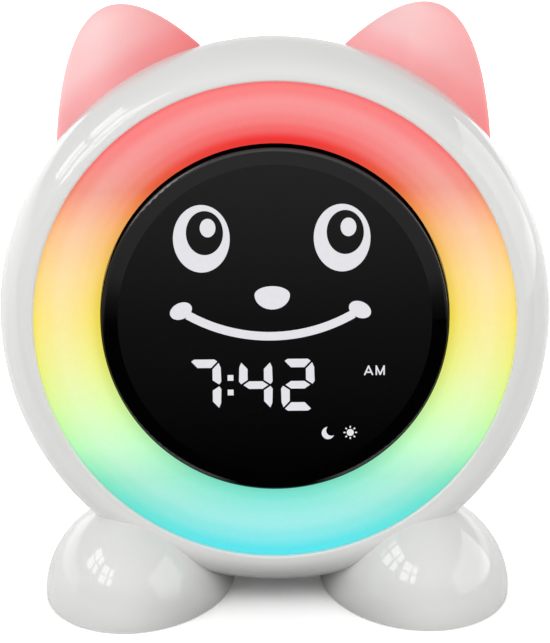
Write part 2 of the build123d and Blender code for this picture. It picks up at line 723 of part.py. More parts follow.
def ear_blank(side, inset=0.0):
    """A flattened paraboloid, the puffy outside of an ear, moved in by an inset."""
    length = EAR_LENGTH + EAR_ROOT_LENGTH - inset
    half_width = (EAR_HALF_WIDTH - inset) * math.sqrt(length / EAR_LENGTH)
    half_thickness = (EAR_HALF_THICKNESS - inset) * math.sqrt(length / EAR_LENGTH)
    round_ear = turned(
        Bezier((0, length), (half_width / 2, length), (half_width, 0)),
        Line((half_width, 0), (0, 0)),
        Line((0, 0), (0, length)),
    )
    flat_ear = scale(round_ear, by=(half_thickness / half_width, 1, 1))
    return ear_line(side, -EAR_ROOT_LENGTH) * flat_ear


def ear(side):
    """A hollow translucent ear whose neck passes the slot in the rear cover to a flange."""
    inside = case_envelope(-WALL)
    root = case_envelope(-WALL - EAR_FLANGE)
    outer = ear_blank(side)
    cap = outer - case_envelope()
    neck = ear_blank(side, EAR_SLOT_STEP) - root
    flange = (outer & case_envelope(-WALL - 0.1)) - root
    flange -= collar(50.0, 70.0, TONGUE_LOW_Z - 0.4, 30.0)
    hollow = ear_blank(side, EAR_SLOT_STEP + EAR_WALL)
    piece = cap + neck + flange - hollow
    return max(piece.solids(), key=lambda solid: solid.volume)


def ear_board(side):
    x_size, thickness, z_size = EAR_BOARD_SIZE
    return ear_line(side, EAR_BOARD_DISTANCE) * Box(z_size, x_size, thickness, align=ON_BASE)


def ear_board_post(side):
    """A post on the rear cover with a slot that grips the edge of the ear's board."""
    spot = ear_line(side, EAR_BOARD_DISTANCE).position
    post = rod(EAR_POST_RADIUS, -30.0, EAR_POST_HIGH_Z, spot.X, spot.Y) & case_envelope(-WALL / 2)
    return post - ear_board(side)


def ear_leds():
    leds = []
    length, height, width = EAR_LED_SIZE
    for side in (-1, 1):
        line = ear_line(side, EAR_BOARD_DISTANCE + EAR_BOARD_SIZE[1])
        for offset in (-EAR_LED_SPACING / 2, EAR_LED_SPACING / 2):
            leds.append(line * (Pos(0, offset, 0) * Box(width, length, height, align=ON_BASE)))
    return group(leds)


# ---- feet, in the clock's own upright frame ----
def foot_place(side):
    return Pos(side * FOOT_X, FOOT_Y, 0) * Rot(0, 0, side * FOOT_SPLAY)


def foot_sole(side, inset, low_z):
    """The foot's oval outline, moved in by an inset and raised to the end of the upright sides."""
    outline = Pos(0, 0, low_z) * Ellipse(FOOT_HALF_WIDTH - inset, FOOT_HALF_LENGTH - inset)
    return foot_place(side) * extrude(outline, FOOT_SIDE - low_z)


def foot_dome(side, inset, low_z):
    """An oval dome with short upright sides that leans forward, moved in by an inset."""
    rise = FOOT_HEIGHT - inset - FOOT_SIDE
    ovals = []
    for degrees in FOOT_SECTION_ANGLES:
        angle = math.radians(degrees)
        reach = math.cos(angle) ** (2 / FOOT_BULGE)
        up = rise * math.sin(angle) ** (2 / FOOT_BULGE)
        oval = Ellipse((FOOT_HALF_WIDTH - inset) * reach, (FOOT_HALF_LENGTH - inset) * reach)
        ovals.append(Pos(0, -FOOT_LEAN * up, FOOT_SIDE + up) * oval)
    return foot_place(side) * loft(ovals) + foot_sole(side, inset, low_z)


def foot_layer(high_z):
    """Everything around the feet up to a height."""
    return block(4 * CASE_RADIUS, 4 * CASE_RADIUS, -1.0, high_z)


def foot_screw_line(side, screw_z):
    """The axis of a foot screw in the case frame, with z pointing out through the wall."""
    degrees = 270.0 + side * FOOT_SCREW_ANGLE
    x, y = polar(CASE_RADIUS, degrees)
    out = Vector(x, y, 0).normalized()
    return Plane(origin=(x, y, screw_z), x_dir=(0, 0, 1), z_dir=out).location


def foot_seat_depth(screw_z):
    """How far inside the widest radius the head of a foot screw rests."""
    inner_reach = CASE_RADIUS - WALL - BACK_FLAT_RADIUS
    inner = BACK_FLAT_RADIUS + inner_reach * math.sqrt(1 - (screw_z / BACK_INSIDE_Z) ** 2)
    return CASE_RADIUS - inner + 1.0


def foot_screw_seat(side, screw_z):
    """A flat pad inside the rear cover for the head of a foot screw."""
    depth = foot_seat_depth(screw_z)
    pad = Pos(0, 0, -depth) * Cylinder(FOOT_SEAT_RADIUS, depth, align=ON_BASE)
    return (foot_screw_line(side, screw_z) * pad) & case_envelope(-WALL / 2)


def foot(side):
    case = place(case_envelope())
    hollow = foot_dome(side, FOOT_WALL, -1.0)
    hollow -= place(case_envelope(FOOT_WALL))
    shell = foot_dome(side, 0.0, FOOT_LIFT) - case - hollow
    bosses = []
    pilots = []
    for screw_z in FOOT_SCREW_Z:
        line = CASE_FRAME.location * foot_screw_line(side, screw_z)
        bosses.append(line * Cylinder(FOOT_BOSS_RADIUS, 2 * FOOT_BOSS_LENGTH))
        pilots.append(line * Cylinder(CASE_SHANK_RADIUS + SCREW_CLEARANCE, 2 * FOOT_BOSS_LENGTH - 2.0))
    inner_space = foot_dome(side, FOOT_WALL / 2, 0.0) - foot_layer(PAD_THICKNESS + PAD_CLEARANCE)
    for boss in bosses:
        shell += (boss & inner_space) - case
    for pilot in pilots:
        shell -= pilot
    return max(shell.solids(), key=lambda solid: solid.volume)


def foot_pad(side):
    """The rubber pad that fills the mouth of the foot and stands a little below its rim."""
    return foot_dome(side, FOOT_WALL + PAD_CLEARANCE, 0.0) & foot_layer(PAD_THICKNESS)


# ---- screws ----
def screw(head_radius, head_height, shank_radius, length):
    """A pan-head screw pointing along +z, with its head's underside at z = 0."""
    brim = head_height / 2
    crown = Cone(head_radius * 0.75, head_radius, head_height - brim, align=ON_BASE)
    slot_width, slot_depth = CROSS_RECESS
    cross = Box(head_radius, slot_width, slot_depth, align=ON_BASE)
    cross += Box(slot_width, head_radius, slot_depth, align=ON_BASE)
    head = rod(head_radius, -brim, 0) + Pos(0, 0, -head_height) * (crown - cross)
    tip = 1.0
    shank = Cylinder(shank_radius, length - tip, align=ON_BASE)
    shank += Pos(0, 0, length - tip) * Cone(shank_radius, 0.3, tip, align=ON_BASE)
    return head + shank


def case_screws():
    screws = []
    for degrees in CASE_SCREW_ANGLES:
        x, y = polar(CASE_SCREW_RADIUS, degrees)
        screws.append(Pos(x, y, CASE_SCREW_SEAT_Z) * screw(2.3, 1.8, CASE_SHANK_RADIUS, 12.0))
    return group(screws)


def tray_screws():
    screws = []
    for degrees in TRAY_SCREW_ANGLES:
        x, y = polar(TRAY_SCREW_RADIUS, degrees)
        screws.append(Pos(x, y, TRAY_ARM_LOW_Z) * screw(1.9, 1.2, SMALL_SHANK_RADIUS, 7.5))
    return group(screws)


def board_screws():
    downward = Rot(180, 0, 0) * screw(1.9, 1.2, SMALL_SHANK_RADIUS, 6.4)
    return group(Pos(x, y, MAIN_BOARD_FRONT_Z) * downward for x, y in BOARD_POST_SPOTS)


def foot_screws():
    screws = []
    for side in (-1, 1):
        for screw_z in FOOT_SCREW_Z:
            line = foot_screw_line(side, screw_z)
            depth = foot_seat_depth(screw_z)
            fastener = screw(2.4, 1.6, CASE_SHANK_RADIUS, 8.0 + depth)
            screws.append(line * (Pos(0, 0, -depth) * fastener))
    return group(screws)


# ---- main board, keys, port and slide switch ----
def main_board():
    disc_part = rod(MAIN_BOARD_RADIUS, MAIN_BOARD_REAR_Z, MAIN_BOARD_FRONT_Z)
    keep = block(90.0, 60.0, -40.0, 0.0, 0.0, MAIN_BOARD_TOP_Y - 30.0)
    board = disc_part & keep
    for x, y in BOARD_POST_SPOTS:
        board -= rod(CLEAR_HOLE_RADIUS, -30.0, -20.0, x, y)
    return board


def board_chips():
    """Processor, sound chip, charger chip and three wire sockets, on the board's front."""
    low = MAIN_BOARD_FRONT_Z
    rx, ry = ribbon_spot()
    return group([
        block(10.0, 10.0, low, low + 1.4, 6.0, -10.0),
        block(6.0, 5.0, low, low + 1.4, -8.0, -6.0),
        block(3.0, 3.0, low, low + 1.0, 16.0, -22.0),
        block(6.0, 4.5, low, low + 3.4, 24.0, -8.0),
        block(6.0, 4.5, low, low + 3.4, -24.0, -5.0),
        block(15.0, 3.0, low, low + 1.5, rx, ry),
    ])


def tact_switches():
    switches = []
    for x, y in key_spots().values():
        case = block(SWITCH_SIZE, SWITCH_SIZE, SWITCH_REAR_Z, MAIN_BOARD_REAR_Z, x, y)
        recess = rod(PLUNGER_RADIUS + PLUNGER_GAP, SWITCH_REAR_Z - 1, SWITCH_REAR_Z + 2.0, x, y)
        switches.append(case - recess)
    return group(switches)


def plunger_rear_z():
    return SWITCH_REAR_Z - 0.9


def key_plunger(name):
    x, y = key_spots()[name]
    return rod(PLUNGER_RADIUS, plunger_rear_z(), SWITCH_REAR_Z + 2.0 - KEY_TRAVEL - 0.2, x, y)


def key_mark(name):
    """The plain sign sunk into a key: ring, square, bell, sun, minus or plus."""
    size = KEY_MARK_SIZE
    line = KEY_MARK_LINE
    bar = Rectangle(size, line)
    if name == "mode":
        return Circle(size / 2) - Circle(size / 2 - line)
    if name == "set":
        return Rectangle(size - line, size - line) - Rectangle(size - 3 * line, size - 3 * line)
    if name == "alarm":
        dome = Pos(0, size * 0.14) * Circle(size * 0.36) + Rectangle(size * 0.72, size * 0.5)
        return dome + Pos(0, -size * 0.3) * bar + Pos(0, -size * 0.42) * Circle(line * 0.6)
    if name == "light":
        ray = Pos(size * 0.42, 0) * Rectangle(line, line * 0.7)
        return Circle(size * 0.22) + [Rot(0, 0, degrees) * ray for degrees in range(0, 360, 45)]
    if name == "plus":
        return bar + Rot(0, 0, 90) * bar
    return bar


def key_cap(name):
    """A key: its cap in the opening, a flange behind the wall and a stem to the plunger."""
    x, y = key_spots()[name]
    cap = rounded_block(KEY_WIDTH, KEY_HEIGHT, 1.8, BACK_Z - KEY_PROUD, BACK_INSIDE_Z, x, y)
    rim = cap.faces().sort_by(Axis.Z)[0].edges()
    cap = fillet(rim, 0.6)
    mark_top = BACK_Z - KEY_PROUD + KEY_MARK_DEPTH
    cap -= Pos(x, y, 0) * prism(key_mark(name), BACK_Z - KEY_PROUD - 1.0, mark_top)
    flange_low = BACK_INSIDE_Z + 0.05
    flange_high = flange_low + KEY_FLANGE_THICKNESS
    neck = block(KEY_WIDTH - 2.0, KEY_HEIGHT - 2.0, BACK_INSIDE_Z - 0.5, flange_low + 0.2, x, y)
    flange = rounded_block(
        KEY_WIDTH + 2 * KEY_FLANGE, KEY_HEIGHT + 2 * KEY_FLANGE, 2.2, flange_low, flange_high, x, y
    )
    stem = rod(1.4, flange_high - 0.2, plunger_rear_z(), x, y)
    return cap + neck + flange + stem


def usb_socket():
    x, y = PORT_CENTRE
    mouth = MAIN_BOARD_REAR_Z - PORT_DEPTH
    shell = rounded_block(PORT_WIDTH, PORT_HEIGHT, 1.6, mouth, MAIN_BOARD_REAR_Z, x, y)
    hollow_width = PORT_WIDTH - 2 * PORT_SHELL
    hollow_height = PORT_HEIGHT - 2 * PORT_SHELL
    shell -= rounded_block(hollow_width, hollow_height, 1.3, mouth - 1, MAIN_BOARD_REAR_Z - 1.5, x, y)
    return shell + block(6.7, 0.7, mouth + 0.6, MAIN_BOARD_REAR_Z - 1.0, x, y)


def slide_switch_case():
    x, y = SLIDER_CENTRE
    case = block(8.6, 3.6, SWITCH_REAR_Z, MAIN_BOARD_REAR_Z, x, y)
    return case - block(1.4 + SLIDER_TRAVEL + 0.5, 1.9, SWITCH_REAR_Z - 1, SWITCH_REAR_Z + 2.0, x, y)


def power_slider():
    """The slide switch's knob, at its off end. It moves towards +x to switch on."""
    x, y = SLIDER_CENTRE
    x -= SLIDER_TRAVEL / 2
    knob = block(SLIDER_KNOB[0], SLIDER_KNOB[1], BACK_Z - 0.9, BACK_INSIDE_Z, x, y)
    for index in (-1, 0, 1):
        knob -= block(0.4, SLIDER_KNOB[1] + 1, BACK_Z - 1.5, BACK_Z - 0.6, x + index * 0.9, y)
    plate_low = BACK_INSIDE_Z + 0.05
    neck = block(SLIDER_KNOB[0] - 0.6, SLIDER_KNOB[1] - 0.4, BACK_INSIDE_Z - 0.5, plate_low + 0.2, x, y)
    plate = block(SLIDER_PLATE[0], SLIDER_PLATE[1], plate_low, plate_low + 0.8, x, y)
    stem = block(1.4, 1.4, plate_low + 0.6, SWITCH_REAR_Z + 1.6, x, y)
    return knob + neck + plate + stem


# ---- speaker ----
def speaker_at(shape):
    return Pos(0, SPEAKER_Y, 0) * shape


def speaker_frame():
    flange_low = BACK_INSIDE_Z + 0.8
    basket = turned(
        Line((CONE_RADIUS + 0.6, flange_low), (SPEAKER_RADIUS, flange_low)),
        Line((SPEAKER_RADIUS, flange_low), (SPEAKER_RADIUS, flange_low + 1.4)),
        Line((SPEAKER_RADIUS, flange_low + 1.4), (CONE_RADIUS + 1.6, flange_low + 1.4)),
        Line((CONE_RADIUS + 1.6, flange_low + 1.4), (MAGNET_RADIUS + 1.6, -26.8)),
        Line((MAGNET_RADIUS + 1.6, -26.8), (MAGNET_RADIUS + 1.6, -26.0)),
        Line((MAGNET_RADIUS + 1.6, -26.0), (4.2, -26.0)),
        Line((4.2, -26.0), (4.2, -27.0)),
        Line((4.2, -27.0), (MAGNET_RADIUS, -27.0)),
        Line((MAGNET_RADIUS, -27.0), (CONE_RADIUS + 0.6, flange_low + 1.0)),
        Line((CONE_RADIUS + 0.6, flange_low + 1.0), (CONE_RADIUS + 0.6, flange_low)),
    )
    for degrees in (45, 135, 225, 315):
        window = Rot(0, 0, degrees) * Pos(11.2, 0, -29.4) * Rot(0, -50, 0) * Box(2.6, 5.0, 6.0)
        basket -= window & collar(9.9, 13.6, -31.3, -27.4)
    return speaker_at(basket)


def speaker_magnet():
    return speaker_at(rod(MAGNET_RADIUS, -26.0, -22.0) + rod(MAGNET_RADIUS + 1.0, -25.6, -23.6))


def speaker_cone():
    rim_z = BACK_INSIDE_Z + 1.4
    neck_z = -29.4
    cone = turned(
        Line((CONE_RADIUS, rim_z), (CONE_RADIUS, rim_z + 0.5)),
        Line((CONE_RADIUS, rim_z + 0.5), (10.6, rim_z + 0.5)),
        Line((10.6, rim_z + 0.5), (3.9, neck_z + 0.5)),
        Line((3.9, neck_z + 0.5), (3.9, -27.2)),
        Line((3.9, -27.2), (3.4, -27.2)),
        Line((3.4, -27.2), (3.4, neck_z)),
        Line((3.4, neck_z), (0, neck_z - 0.9)),
        Line((0, neck_z - 0.9), (0, neck_z - 1.4)),
        Line((0, neck_z - 1.4), (4.2, neck_z - 0.3)),
        Line((4.2, neck_z - 0.3), (10.4, rim_z)),
        Line((10.4, rim_z), (CONE_RADIUS, rim_z)),
    )
    return speaker_at(cone)


def speaker_gasket():
    return speaker_at(collar(13.0, SPEAKER_RADIUS, BACK_INSIDE_Z, BACK_INSIDE_Z + 0.8))


# ---- battery and wires ----
def battery_cell():
    x, y = BATTERY_CENTRE
    length, width, thickness = BATTERY_SIZE
    high = TRAY_LOW_Z - FOAM_THICKNESS
    cell = rounded_block(length - 5.0, width, 3.0, high - thickness, high, x - 2.5, y)
    cell = fillet(cell.edges().filter_by(Axis.Z, reverse=True), 1.6)
    return cell + block(5.4, width - 8.0, high - thickness + 2.0, high - 2.0, x + length / 2 - 2.7, y)


def battery_foam():
    x, y = BATTERY_CENTRE
    return block(40.0, 24.0, TRAY_LOW_Z - FOAM_THICKNESS, TRAY_LOW_Z, x - 2.5, y)


def wire(points, radii):
    route = FilletPolyline(*points, radius=radii)
    section = Plane(origin=route @ 0, z_dir=route % 0) * Circle(WIRE_RADIUS)
    return sweep(section, path=route)


def battery_leads():
    """Two wires from the battery's end to their socket on the main board."""
    socket_z = MAIN_BOARD_FRONT_Z + 3.4
    leads = []
    for shift in (-0.9, 0.9):
        points = [(28.0, 2.0 + shift, -4.4), (37.0, 2.0 + shift, -4.4), (37.0, 0.0 + shift, -13.0)]
        points += [(24.0 + shift, -8.0, -15.0), (24.0 + shift, -8.0, socket_z)]
        leads.append(wire(points, [3.0, 3.0, 3.0]))
    return group(leads)


def speaker_leads():
    """Two wires from the speaker's basket to their socket on the main board."""
    socket_z = MAIN_BOARD_FRONT_Z + 3.4
    leads = []
    for shift in (-0.9, 0.9):
        x = -24.0 + shift
        points = [(-9.6, SPEAKER_Y + shift, -26.4), (-19.0, SPEAKER_Y + shift, -26.4)]
        points += [(x, 8.0, -18.0), (x, -5.0, -15.0), (x, -5.0, socket_z)]
        leads.append(wire(points, [3.0, 3.5, 3.0]))
    return group(leads)


def display_ribbon():
    x, y = ribbon_spot()
    return block(12.0, 0.35, MAIN_BOARD_FRONT_Z + 1.5, DISPLAY_BOARD_LOW_Z, x, y)


def case_nodes():
    """Every node that is drawn in the case frame."""
    panel, windows, reflector = display_pieces()
    nodes = {
        "front_bezel": front_bezel(),
        "rear_cover": rear_cover(),
        "light_ring": light_ring(),
        "light_tray": light_tray(),
        "ring_board": ring_board(),
        "ring_leds": ring_leds(),
        "display_panel": panel,
        "reflector_housing": reflector,
        "display_board": display_board(),
        "display_leds": display_leds(),
        "ear_left": ear(-1),
        "ear_right": ear(1),
        "ear_board_left": ear_board(-1),
        "ear_board_right": ear_board(1),
        "ear_leds": ear_leds(),
        "main_board": main_board(),
        "board_chips": board_chips(),
        "tact_switches": tact_switches(),
        "usb_socket": usb_socket(),
        "slide_switch_case": slide_switch_case(),
        "power_slider": power_slider(),
        "speaker_frame": speaker_frame(),
        "speaker_magnet": speaker_magnet(),
        "speaker_cone": speaker_cone(),
        "speaker_gasket": speaker_gasket(),
        "battery_cell": battery_cell(),
        "battery_foam": battery_foam(),
        "battery_leads": battery_leads(),
        "speaker_leads": speaker_leads(),
        "display_ribbon": display_ribbon(),
        "case_screws": case_screws(),
        "tray_screws": tray_screws(),
        "board_screws": board_screws(),
        "foot_screws": foot_screws(),
    }
    nodes.update(windows)
    for name in KEY_NAMES:
        nodes["key_" + name] = key_cap(name)
        nodes["plunger_" + name] = key_plunger(name)
    return nodes


def foot_nodes():
    """Every node that is drawn upright, on the surface that the clock stands on."""
    return {
        "foot_left": foot(-1),
        "foot_right": foot(1),
        "foot_pad_left": foot_pad(-1),
        "foot_pad_right": foot_pad(1),
    }


def main():
    os.makedirs("parts", exist_ok=True)
    nodes = {name: place(shape) for name, shape in case_nodes().items()}
    nodes.update(foot_nodes())
    for name, shape in nodes.items():
        save(name, shape)
    box = Compound([shape for shape in nodes.values()]).bounding_box()
    print("box from", box.min, "to", box.max, "nodes", len(nodes))


main()
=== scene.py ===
import json
import math

import bpy
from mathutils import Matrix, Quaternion, Vector


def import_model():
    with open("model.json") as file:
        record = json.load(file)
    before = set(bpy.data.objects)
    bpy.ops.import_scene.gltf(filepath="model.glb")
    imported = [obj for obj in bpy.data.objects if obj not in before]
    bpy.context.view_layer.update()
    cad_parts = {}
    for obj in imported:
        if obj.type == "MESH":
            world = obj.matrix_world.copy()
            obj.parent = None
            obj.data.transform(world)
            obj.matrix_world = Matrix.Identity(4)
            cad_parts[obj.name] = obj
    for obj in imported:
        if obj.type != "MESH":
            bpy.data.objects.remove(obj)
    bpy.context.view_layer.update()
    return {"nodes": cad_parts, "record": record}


# A round children's alarm clock with a night light: materials, studio and camera around the
# CAD nodes. All of them are shown as they are, with new materials.

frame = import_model()

MM = 0.001
RIGHT = Vector((1.0, 0.0, 0.0))
FORWARD = Vector((0.0, -1.0, 0.0))

# ---- the clock's face, in the frame ----
CASE_LEAN = math.radians(6.8)
CASE_CENTRE = Vector((0.0, -3.19 * MM, 69.5 * MM))
FACE_OUT = Vector((0.0, -math.cos(CASE_LEAN), math.sin(CASE_LEAN)))
FACE_UP = Vector((0.0, math.sin(CASE_LEAN), math.cos(CASE_LEAN)))

# ---- camera: a long lens, a little above the clock ----
AIM = CASE_CENTRE - Vector((0.0, 0.13 * MM, 2.74 * MM))
CAMERA_DISTANCE = 0.700
CAMERA_ELEVATION = 18.0
CAMERA_ROLL = math.radians(-0.5)
CAMERA_NEAREST = 0.05
PICTURE_HEIGHT = 643
FOCAL_PIXELS = 2906
SENSOR = 36.0

# ---- colours, as they look on screen (0 to 255) ----
SHELL_WHITE = (225, 225, 223)
KEY_GREY = (205, 205, 202)
PANEL_BLACK = (3, 3, 3)
LIT_WHITE = ((224, 224, 229), (232, 232, 237))
LIT_STRENGTH = 0.97

# deepest colour of the light ring by height on the face, in millimetres from its middle
RING_GLOW = (
    (-56.0, (58, 230, 240)),
    (-44.0, (86, 226, 208)),
    (-38.0, (118, 230, 192)),
    (-30.0, (178, 251, 182)),
    (-21.0, (212, 252, 150)),
    (-11.0, (238, 243, 112)),
    (0.0, (252, 229, 84)),
    (11.0, (255, 214, 104)),
    (21.5, (253, 182, 100)),
    (27.0, (249, 146, 84)),
    (31.5, (240, 106, 66)),
    (38.0, (244, 78, 66)),
    (44.0, (248, 52, 52)),
)
# how much white light the ring adds, by distance from its middle in millimetres: partly the hot
# spot over its lamps and partly a painted sheen of the studio light on its crest
RING_HOTSPOT_AND_SHEEN = (
    (41.5, 0.0),
    (44.5, 0.12),
    (46.5, 0.20),
    (49.5, 0.27),
    (50.8, 0.28),
    (53.7, 0.19),
    (57.5, 0.06),
)
# how far up the palest circle is shifted, as a share of its radius, so that the painted sheen
# sits higher, towards the light from above
RING_SHEEN_SHIFT = 0.03
RING_STRENGTH = 0.86
RING_BASE = 0.15

# colour of an ear by distance from the middle of the face, in millimetres, from case to tip
EAR_GLOW = (
    (62.0, (250, 146, 148)),
    (67.5, (250, 170, 172)),
    (74.1, (250, 198, 199)),
    (79.6, (250, 203, 203)),
    (84.0, (248, 194, 194)),
)
# painted shade, deeper red on each ear's right side, away from the light on the left: from and to
# this far right of its middle, from and to this much
EAR_MIDDLE_X = 37.0 * MM
EAR_PAINTED_SHADE_SPAN = (-4.0 * MM, 20.0 * MM, 0.0, 0.72)
EAR_PAINTED_SHADE = (246, 104, 104)
EAR_STRENGTH = 0.53
EAR_BASE = 0.46

# ---- finishes ----
# noise keeps to the middle of its range, so these limits spread it out
NOISE_NARROW = (0.35, 0.65)
NOISE_WIDE = (0.3, 0.7)
SHELL_ROUGHNESS = 0.012
# the display's side and its rounded edge end between these distances in front of the case's middle
PANEL_EDGE = (11.65 * MM, 12.1 * MM)
PANEL_MATT = {"Roughness": 0.4, "Specular IOR Level": 0.0}
PANEL_GLOSS = {"Roughness": 0.025, "Specular IOR Level": 0.5}
RIBBON_PITCH = 0.8 * MM

# ---- studio ----
# how light the studio is for the rays that light the clock
SKY_LIGHT = 0.41
# how light it is in the gloss, by height from low in front to overhead
SKY_LEVELS = (
    (-0.625, 0.0),
    (-0.575, 0.08),
    (-0.524, 0.25),
    (-0.45, 0.3),
    (-0.2, 0.36),
    (0.05, 1.0),
)
# that height also rises towards the back, and falls to both sides as far as a limit
SKY_LEAN = Vector((0.0, 0.5, 1.0))
SKY_SIDE_LIMIT = 0.12
SKY_SIDE_FALL = 0.6

# the floor's brightness, each as distance from, distance to, value at the first and at the second
# painted shade: the floor throws back less light onto the clock near its middle
FLOOR_BOUNCE_PAINTED_SHADE = (26.0 * MM, 56.0 * MM, 0.05, 0.7)
# painted shade: the floor is seen less white near the clock, which deepens its shadow there
FLOOR_WHITE_PAINTED_SHADE_NEAR = (55.0 * MM, 110.0 * MM, 1.4, 1.95)
FLOOR_WHITE_FAR = (300.0 * MM, 900.0 * MM, 0.0, 0.75)
# how much of the floor goes dark in the gloss: in front of the clock, and between its feet as
# painted shade
FLOOR_FRONT_FADE = (60.0 * MM, 90.0 * MM, 0.28, 1.0)
FEET_GAP_SIDEWAYS = (15.0 * MM, 35.0 * MM, 1.0, 0.0)
FEET_GAP_FORWARD = (12.0 * MM, 32.0 * MM, 0.0, 1.0)
FLOOR_REACH = 3.0
FLOOR_SPLIT = -0.09

# lamps are placed by azimuth (0 is the front, 90 the picture's right) and elevation, in degrees
LAMP_AIM = Vector((0.0, 0.0, 60.0 * MM))
# lamps that only light the clock: name, azimuth, elevation, radiance
LIGHTING = (
    ("key_left", -46.0, 26.0, 2.2),
    ("key_right", 44.0, 26.0, 1.9),
    ("fill_right", 110.0, 12.0, 0.2),
    ("fill_left", -115.0, 12.0, 0.8),
    ("fill_back", 172.0, 30.0, 1.1),
)
LIGHTING_DISTANCE = 1.1
LIGHTING_SIZE = 0.9
# windows that only show in the gloss: name, azimuth, elevation
WINDOWS = (("window_left", -84.0, 38.0), ("window_right", -44.0, 34.0))
WINDOW_DISTANCE = 1.2
WINDOW_RADIANCE = 4.2
# their panes: rows by name and rise, columns by name, turn and width
PANE_ROWS = (("low", -6.5), ("high", 6.5))
PANE_COLUMNS = (("wide", -6.0, 0.28), ("narrow", 11.0, 0.17))
PANE_HEIGHT = 0.23
# cards that only show in the gloss: name, azimuth, elevation, distance, width, height, radiance
CARDS = (
    ("strip", 130.0, 3.0, 1.0, 1.2, 0.18, 0.75),
    ("card_right", 90.0, 17.0, 1.3, 2.1, 0.95, 1.6),
    ("card_left", -125.0, 4.0, 1.2, 1.6, 0.4, 0.9),
)


def screen(colour):
    """Linear light values of a colour as it looks on screen."""
    def linear(value):
        value /= 255.0
        return value / 12.92 if value <= 0.04045 else ((value + 0.055) / 1.055) ** 2.4
    return tuple(linear(channel) for channel in colour) + (1.0,)


def grey(level):
    """A colour of one level in all its channels."""
    return (level, level, level, 1.0)


# ---- shader helpers ----
class Graph:
    """The nodes of a material or of the world, with short ways to add and join them."""

    def __init__(self, owner):
        owner.use_nodes = True
        self.nodes = owner.node_tree.nodes
        self.links = owner.node_tree.links

    def add(self, kind, **settings):
        node = self.nodes.new("ShaderNode" + kind)
        for name, value in settings.items():
            setattr(node, name, value)
        return node

    def feed(self, socket, value):
        """Put a number, a colour or the output of another node into a socket."""
        if isinstance(value, bpy.types.NodeSocket):
            self.links.new(value, socket)
        else:
            socket.default_value = value

    def math(self, operation, first, second=0.0):
        node = self.add("Math", operation=operation)
        self.feed(node.inputs[0], first)
        self.feed(node.inputs[1], second)
        return node.outputs[0]

    def vector_math(self, operation, *values):
        """A vector for SUBTRACT, a number for DOT_PRODUCT and LENGTH."""
        node = self.add("VectorMath", operation=operation)
        for socket, value in zip(node.inputs, values):
            self.feed(socket, value)
        return node.outputs["Vector" if operation == "SUBTRACT" else "Value"]

    def span(self, value, low, high, out_low=0.0, out_high=1.0):
        """Carry a value from one range over to another, and hold it at both ends."""
        node = self.add("MapRange", clamp=True)
        for socket, given in zip(node.inputs, (value, low, high, out_low, out_high)):
            self.feed(socket, given)
        return node.outputs[0]

    def ramp(self, value, stops, smooth=True):
        """Colours at given values, and what lies between them."""
        low, high = stops[0][0], stops[-1][0]
        node = self.add("ValToRGB")
        self.feed(node.inputs["Fac"], self.span(value, low, high))
        band = node.color_ramp
        band.interpolation = "EASE" if smooth else "LINEAR"
        while len(band.elements) < len(stops):
            band.elements.new(1.0)
        for element, stop in zip(band.elements, stops):
            element.position = (stop[0] - low) / (high - low)
        for element, stop in zip(band.elements, stops):
            element.color = stop[1]
        return node.outputs["Color"]

    def mix(self, factor, first, second, blend="MIX"):
        node = self.add("Mix", data_type="RGBA", blend_type=blend)
        colours = [socket for socket in node.inputs if socket.type == "RGBA"]
        self.feed(node.inputs[0], factor)
        self.feed(colours[0], first)
        self.feed(colours[1], second)
        return next(socket for socket in node.outputs if socket.type == "RGBA")

    def seen_rays(self, path):
        """1 for rays that show the white surroundings, 0 for the rays that light the clock."""
        seen = path.outputs["Is Camera Ray"]
        for name in ("Is Glossy Ray", "Is Transmission Ray"):
            seen = self.math("MAXIMUM", seen, path.outputs[name])
        return seen


class Shader(Graph):
    """A material and the nodes that its surface is made from."""

    def __init__(self, name, colour, roughness, **settings):
        self.material = bpy.data.materials.new(name)
        super().__init__(self.material)
        self.surface = self.nodes["Principled BSDF"]
        self.set("Base Color", screen(colour))
        self.set("Roughness", roughness)
        for socket, value in settings.items():
            self.set(socket.replace("_", " "), value)

    def set(self, socket, value):
        self.feed(self.surface.inputs[socket], value)

    def place(self):
        """Where the surface point is, in the frame, in metres."""
        return self.add("TexCoord").outputs["Object"]

    def along(self, direction, origin):
        """Distance of the surface point from an origin, measured along a direction."""
        offset = self.vector_math("SUBTRACT", self.place(), origin)
        return self.vector_math("DOT_PRODUCT", offset, direction)

    def on_face(self):
        """How far the surface point is above, right of and away from the face's middle."""
        up = self.along(FACE_UP, CASE_CENTRE)
        right = self.along(RIGHT, CASE_CENTRE)
        squares = [self.math("MULTIPLY", part, part) for part in (up, right)]
        return up, right, self.math("SQRT", self.math("ADD", *squares))

    def noise(self, scale, detail=2.0):
        node = self.add("TexNoise")
        for socket, value in (("Vector", self.place()), ("Scale", scale), ("Detail", detail)):
            self.feed(node.inputs[socket], value)
        return node.outputs["Fac"]

    def mottle(self, colour, scale, amount):
        """Slightly uneven colour: darker and lighter patches of the same tone."""
        light = screen(colour)
        dark = tuple(channel * (1.0 - amount) for channel in light[:3]) + (1.0,)
        self.set("Base Color", self.mix(self.noise(scale, detail=3.0), dark, light))

    def bump(self, height, strength, depth):
        node = self.add("Bump")
        for socket, value in (("Height", height), ("Strength", strength), ("Distance", depth)):
            self.feed(node.inputs[socket], value)
        self.set("Normal", node.outputs["Normal"])

    def grain(self, scale, detail, strength, depth):
        """Fine unevenness of the surface, without a pattern."""
        self.bump(self.noise(scale, detail), strength, depth)

    def glow(self, colour, strength):
        """Light that the surface gives off."""
        self.set("Emission Color", colour)
        self.set("Emission Strength", strength)


